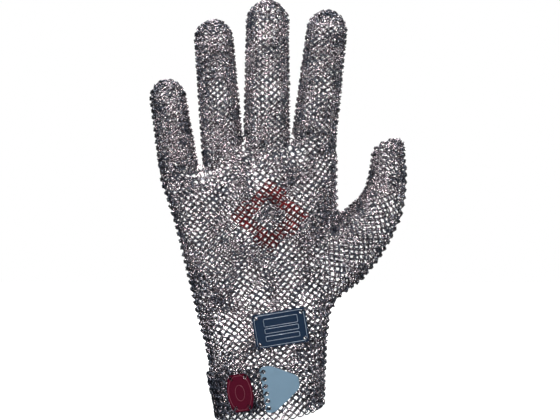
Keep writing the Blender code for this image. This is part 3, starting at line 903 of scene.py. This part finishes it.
def strap_curve(z):
    """The strap's middle surface at a height: from its clasp edge round to its woven-in end."""
    up = (z - CLASP_AT[1]) / math.cos(TILT)
    edge = CLASP_AT[0] - math.sin(TILT) * up - (2 * LINK_R - CORNER_HOLE) * math.cos(TILT)
    start = turn_at(edge, max(z, 0.0))
    turns = np.linspace(start, STRAP_TURN, FREE_STEPS)
    away = smooth(LIFT_SPREAD * (turns - STRAP_TURN) / (start - STRAP_TURN))
    free = outline(z, turns, LIFT * (HINGE_LIFT + (1 - HINGE_LIFT) * away))
    free[:, 2] += (free[:, 0] - edge) * math.tan(TILT)
    turns = np.linspace(STRAP_TURN, ROOT_TURN, ROOT_STEPS)[1:]
    down = smooth((STRAP_TURN - turns) / (STRAP_TURN - ROOT_TURN))
    lift = HINGE_LIFT * LIFT + (ROOT_LIFT - HINGE_LIFT * LIFT) * down
    points = np.concatenate([free, outline(free[-1, 2], turns, lift)])
    steps = np.linalg.norm(np.diff(points, axis=0), axis=1)
    return points, np.concatenate([[0], np.cumsum(steps)])


def strap_surface(along, heights):
    """Points on the strap at one distance from its clasp edge."""
    found = []
    for z in heights:
        points, length = strap_curve(z)
        found.append([np.interp(along, length, points[:, i]) for i in range(3)])
    return np.array(found)


def make_strap():
    """The strap's rings: its rows run up and down, across the cuff's."""
    rings = Rings()
    _, length = strap_curve((STRAP_LOW + STRAP_HIGH) / 2)
    pitch = (STRAP_HIGH - STRAP_LOW) / (STRAP_COLUMNS - 1)
    for j in range(int((length[-1] - STRAP_END) / PALM_ROW) + 1):
        even = j % 2 == 0
        count = STRAP_COLUMNS if even else STRAP_COLUMNS - 1
        heights = STRAP_LOW + pitch * (np.arange(count) + (0 if even else 0.5))
        along = STRAP_FIRST + j * PALM_ROW
        step = STRAP_SAMPLE
        centre = strap_surface(along, heights)
        across = strap_surface(along, heights + step) - strap_surface(along, heights - step)
        up = strap_surface(along + step, heights) - strap_surface(along - step, heights)
        rings.add(centre, across, up, even, along)
    centre, across, up, _ = rings.arrays()
    strap = ring_piece("closure_strap_rings", centre, across, up, STRAP_STEEL)
    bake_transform(strap)
    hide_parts("closure_strap_mesh", "strap_root_mesh")


def links(name, places, normals, nodes, body):
    """The finer single rings that tie a plate on."""
    across, up = [], []
    for normal in normals:
        turn = Vector(normal).to_track_quat("Z", "Y").to_matrix()
        across.append(turn.col[0])
        up.append(turn.col[1])
    obj = ring_piece(name, np.array(places), np.array(across), np.array(up), [LINK_STEEL],
                     LINK_R, LINK_WIRE, LINK_SIDES, LINK_WIRE_SIDES)
    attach(obj, body)
    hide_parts(*nodes)


def corner_links(prefix, at, size, body, inset):
    """Four rings, through a plate's corner holes."""
    wide, tall, _ = size
    places, normals = [], []
    for sx, sy in ((1, 1), (-1, 1), (-1, -1), (1, -1)):
        local = Vector((sx * (wide / 2 - inset), sy * (tall / 2 - CORNER_IN), 0))
        outward = at.to_3x3() @ local.normalized()
        places.append(at @ local + outward * LINK_R)
        normals.append(outward.cross(at.to_3x3().col[2]).normalized())
    nodes = [f"{prefix}_ring_{k}" for k in range(1, 5)]
    links(f"{prefix}_tie_rings", places, normals, nodes, body)


def solid_plate(name, points, thick, holes, hole_r):
    """A plate with drilled holes, in its own frame, its middle plane at z = 0."""
    bm = bmesh.new()
    low, high = ([bm.verts.new((x, y, z)) for x, y in points] for z in (-thick / 2, thick / 2))
    bm.faces.new(list(reversed(low)))
    bm.faces.new(high)
    for k in range(len(points)):
        after = (k + 1) % len(points)
        bm.faces.new((low[k], low[after], high[after], high[k]))
    bmesh.ops.recalc_face_normals(bm, faces=bm.faces)
    obj = object_of(name, bm)
    drills = bmesh.new()
    for x, y in holes:
        bmesh.ops.create_cone(drills, cap_ends=True, segments=DRILL_SIDES, radius1=hole_r,
                              radius2=hole_r, depth=6 * thick,
                              matrix=Matrix.Translation((x, y, 0)))
    combine(obj, object_of("drills", drills), "DIFFERENCE")
    return obj


def object_of(name, bm):
    mesh = bpy.data.meshes.new(name)
    bm.to_mesh(mesh)
    bm.free()
    obj = bpy.data.objects.new(name, mesh)
    bpy.context.scene.collection.objects.link(obj)
    return obj


def apply_modifiers(obj):
    depsgraph = bpy.context.evaluated_depsgraph_get()
    mesh = bpy.data.meshes.new_from_object(obj.evaluated_get(depsgraph))
    obj.modifiers.clear()
    obj.data = mesh


def combine(obj, other, operation):
    mod = obj.modifiers.new("cut", "BOOLEAN")
    mod.operation = operation
    mod.object = other
    apply_modifiers(obj)
    bpy.data.objects.remove(other, do_unlink=True)


def soften(obj, width):
    """Rounded edges, and smooth shading between them."""
    mod = obj.modifiers.new("edges", "BEVEL")
    mod.width = width
    mod.segments = EDGE_STEPS
    mod.limit_method = "ANGLE"
    mod.angle_limit = EDGE_ANGLE
    apply_modifiers(obj)
    obj.data.shade_smooth()
    flat = obj.modifiers.new("flat", "WEIGHTED_NORMAL")
    flat.mode = "FACE_AREA"
    apply_modifiers(obj)


def finished(obj, at, materials, body, node):
    obj.data.materials.clear()
    for mat in materials:
        obj.data.materials.append(mat)
    obj.data.transform(at)
    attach(obj, body)
    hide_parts(node)


def lobes():
    """The clasp's left edge: one shallow lobe beside each hole, from the top down."""
    points = []
    for lobe in reversed(range(CLASP_HOLES)):
        for i in range(LOBE_STEPS):
            share = 1 - i / LOBE_STEPS
            v = -LOBE_REACH + 2 * LOBE_REACH * (lobe + share) / CLASP_HOLES
            out = math.sin(math.pi * share) ** LOBE_FULLNESS
            points.append((LOBE_IN + (LOBE_OUT - LOBE_IN) * out, v))
    return points


def rounded(points, radius):
    """A polygon with its corners rounded."""
    result = []
    for k, corner in enumerate(points):
        here = Vector(corner)
        before = Vector(points[k - 1]) - here
        after = Vector(points[(k + 1) % len(points)]) - here
        cut = min(radius, before.length / CORNER_CUTS, after.length / CORNER_CUTS)
        start, end = here + before.normalized() * cut, here + after.normalized() * cut
        for i in range(CORNER_STEPS + 1):
            t = i / CORNER_STEPS
            point = start * (1 - t) ** 2 + here * (2 * t * (1 - t)) + end * t * t
            result.append((point.x, point.y))
    return result


def hook_arc(radius, steps, count):
    """Points round the hook's bend, from straight up towards the right."""
    angles = [math.pi / 2 * i / count for i in steps]
    u, w = HOOK_AT
    return [(u + radius * math.sin(a), w + radius * math.cos(a)) for a in angles]


def hook_bend():
    """The clasp's tip, turned down into a hook."""
    profile = hook_arc(HOOK_OUTER, range(9), 8) + list(HOOK_TIP)
    profile += hook_arc(HOOK_INNER, (3, 2, 1, 0), 4)
    bm = bmesh.new()
    low, high = ([bm.verts.new((u * MM, v, w * MM)) for u, w in profile] for v in HOOK_SIDES)
    bm.faces.new(low)
    bm.faces.new(list(reversed(high)))
    for k in range(len(profile)):
        after = (k + 1) % len(profile)
        bm.faces.new((low[after], low[k], high[k], high[after]))
    bmesh.ops.recalc_face_normals(bm, faces=bm.faces)
    return object_of("bend", bm)


def make_clasp():
    at = plate_frame(CLASP_AT, LIFT, CLASP_YAW)
    offsets = [(k - (CLASP_HOLES - 1) / 2) * HOLE_PITCH for k in range(CLASP_HOLES)]
    right = rounded([(x * MM, y * MM) for x, y in CLASP_RIGHT], CLASP_ROUND)
    points = [p for p in right if p[0] > RIGHT_FROM] + [(x, -y) for x, y in lobes()]
    clasp = solid_plate("clasp", points, CLASP_THICK, [(0, v) for v in offsets], HOLE_R)
    combine(clasp, hook_bend(), "UNION")
    soften(clasp, CLASP_EDGE)
    finished(clasp, at, [CLASP_STEEL], "clasp", "clasp_plate")
    turn = at.to_3x3()
    places = [at @ Vector((-LINK_R, v, 0)) for v in offsets]
    links("clasp_tie_rings", places, [turn.col[1]] * CLASP_HOLES,
          [f"clasp_ring_{k}" for k in range(1, CLASP_HOLES + 1)], "strap")


def raised(bm, points, width, height, base):
    """A raised line along a closed outline."""
    rows = []
    n = len(points)
    for k, point in enumerate(points):
        here = Vector(point)
        before, after = Vector(points[k - 1]), Vector(points[(k + 1) % n])
        side = (after - before).normalized()
        side = Vector((-side.y, side.x)) * width / 2
        rows.append([bm.verts.new((*(here + side * s), base + h))
                     for s, h in ((1, 0), (LINE_TOP, height), (-LINE_TOP, height), (-1, 0))])
    for k in range(n):
        first, second = rows[k], rows[(k + 1) % n]
        for i in range(3):
            bm.faces.new((first[i], second[i], second[i + 1], first[i + 1]))


def rectangle(wide, tall, x=0.0, y=0.0):
    signs = ((1, 1), (-1, 1), (-1, -1), (1, -1))
    return [(x + sx * wide / 2, y + sy * tall / 2) for sx, sy in signs]


def barrel(wide, tall, notch):
    """An upright outline with bowed sides and its four corners cut off."""
    points = []
    end = wide / 2 - TAG_BULGE - notch
    for sign in (1, -1):
        for i in range(TAG_SIDES + 1):
            share = -1 + 2 * i / TAG_SIDES
            points.append((sign * (wide / 2 - TAG_BULGE * share * share),
                           sign * share * (tall / 2 - notch)))
        points.append((sign * end, sign * tall / 2))
        points.append((-sign * end, sign * tall / 2))
    return points


def add_lines(obj, outlines, width, height, thick):
    """Raised lines on a plate's face, as the mesh's second material."""
    bm = bmesh.new()
    bm.from_mesh(obj.data)
    count = len(bm.faces)
    for points in outlines:
        raised(bm, points, width, height, thick / 2 - LINE_SINK)
    bm.faces.ensure_lookup_table()
    for face in bm.faces[count:]:
        face.material_index = 1
        face.smooth = True
    bm.to_mesh(obj.data)
    bm.free()


def make_marking_plate():
    wide, tall, thick = PLATE_SIZE
    at = plate_frame(PLATE_AT, PLATE_OFF, PLATE_YAW)
    points = rounded(rectangle(wide, tall), PLATE_ROUND)
    holes = rectangle(wide - 2 * CORNER_IN, tall - 2 * CORNER_IN)
    plate = solid_plate("marking_plate_blank", points, thick, holes, CORNER_HOLE)
    soften(plate, PLATE_EDGE)
    fields = [rounded(rectangle(wide - PLATE_RIM, tall - PLATE_RIM), PLATE_RIM_ROUND)]
    for height, y in FIELDS:
        fields.append(rounded(rectangle(FIELD_WIDE, height, FIELD_X, y), FIELD_ROUND))
    finished(plate, Matrix.Identity(4), [PLATE_STEEL, PLATE_LINES], "hand", "marking_plate")
    add_lines(plate, fields, *PLATE_LINE, thick)
    plate.data.transform(at)
    corner_links("plate", at, PLATE_SIZE, "hand", CORNER_IN)


def make_tag():
    wide, tall, thick = TAG_SIZE
    at = plate_frame(TAG_AT, LIFT + TAG_OFF, TAG_YAW)
    holes = rectangle(wide - 2 * TAG_INSET, tall - 2 * CORNER_IN)
    tag = solid_plate("size_tag_blank", barrel(wide, tall, TAG_NOTCH), thick, holes, CORNER_HOLE)
    soften(tag, TAG_EDGE)
    oval = [(TAG_OVAL[0] * math.cos(a), TAG_OVAL[1] * math.sin(a))
            for a in np.linspace(0, math.tau, TAG_OVAL_SIDES, endpoint=False)]
    rim = barrel(wide - TAG_RIM, tall - TAG_RIM, TAG_RIM_NOTCH)
    finished(tag, Matrix.Identity(4), [TAG_RED, TAG_LINES], "strap", "size_tag")
    add_lines(tag, [rim, oval], *TAG_LINE, thick)
    tag.data.transform(at)
    corner_links("tag", at, TAG_SIZE, "strap", TAG_INSET)


make_hand()
for finger in FINGER_LIST:
    make_finger(finger)
make_thumb()
make_strap()
make_clasp()
make_marking_plate()
make_tag()


# Stage, light and camera

FLOOR_Z = -0.5 * MM
FLOOR_HALF = 1.5
AIM = Vector((0, 0, 0.12))
COOL = (0.72, 0.88, 1.0)


def paper():
    """White that stays white without light."""
    mat, _, shader = new_material("paper_white")
    shader.inputs["Base Color"].default_value = (0.75, 0.75, 0.75, 1)
    shader.inputs["Roughness"].default_value = 0.9
    shader.inputs["Emission Color"].default_value = (1, 1, 1, 1)
    shader.inputs["Emission Strength"].default_value = 1.0
    return mat


def make_floor():
    mesh = bpy.data.meshes.new("floor")
    corners = [(x, y, FLOOR_Z) for x, y in rectangle(2 * FLOOR_HALF, 2 * FLOOR_HALF)]
    mesh.from_pydata(corners, [], [(0, 1, 2, 3)])
    mesh.materials.append(paper())
    obj = bpy.data.objects.new("floor", mesh)
    bpy.context.scene.collection.objects.link(obj)
    obj.visible_glossy = False


def area_light(name, place, size, watts, colour):
    """A rectangular light that points at the middle of the glove."""
    data = bpy.data.lights.new(name, "AREA")
    data.shape = "RECTANGLE"
    data.size, data.size_y = size
    data.energy = watts
    data.color = colour
    obj = bpy.data.objects.new(name, data)
    obj.location = place
    obj.rotation_euler = (AIM - Vector(place)).to_track_quat("-Z", "Y").to_euler()
    bpy.context.scene.collection.objects.link(obj)


def studio_world():
    """White behind the object, and a dim room for it to reflect."""
    world = bpy.data.worlds.new("studio")
    bpy.context.scene.world = world
    world.use_nodes = True
    tree = world.node_tree
    room = tree.nodes["Background"]
    room.inputs["Color"].default_value = (0.9, 0.95, 1, 1)
    room.inputs["Strength"].default_value = 0.035
    white = tree.nodes.new("ShaderNodeBackground")
    white.inputs["Color"].default_value = (1, 1, 1, 1)
    white.inputs["Strength"].default_value = 1.0
    path = tree.nodes.new("ShaderNodeLightPath")
    mix = tree.nodes.new("ShaderNodeMixShader")
    tree.links.new(path.outputs["Is Camera Ray"], mix.inputs["Fac"])
    tree.links.new(room.outputs["Background"], mix.inputs[1])
    tree.links.new(white.outputs["Background"], mix.inputs[2])
    tree.links.new(mix.outputs["Shader"], tree.nodes["World Output"].inputs["Surface"])


bpy.context.scene.view_settings.view_transform = "Standard"
make_floor()
studio_world()
area_light("key", (-0.12, -1.1, 0.42), (0.3, 0.3), 9, (1.0, 0.945, 0.955))
area_light("left", (-0.9, -0.35, 0.35), (0.15, 0.5), 1.6, COOL)
area_light("right", (0.9, -0.35, 0.3), (0.15, 0.5), 1.6, COOL)
area_light("top", (-0.1, 0.1, 1.1), (0.5, 0.5), 4, (0.93, 0.97, 1.0))
area_light("behind", (0.25, 1.1, 0.45), (0.3, 0.3), 6, (1.0, 0.97, 0.96))

camera_data = bpy.data.cameras.new("camera")
camera_data.lens = 90
camera_data.sensor_width = 36
camera = bpy.data.objects.new("camera", camera_data)
camera.location = (0.0057, -0.8035, 0.1194)
camera.rotation_euler = (math.radians(90), 0, 0)
bpy.context.scene.collection.objects.link(camera)
bpy.context.scene.camera = camera
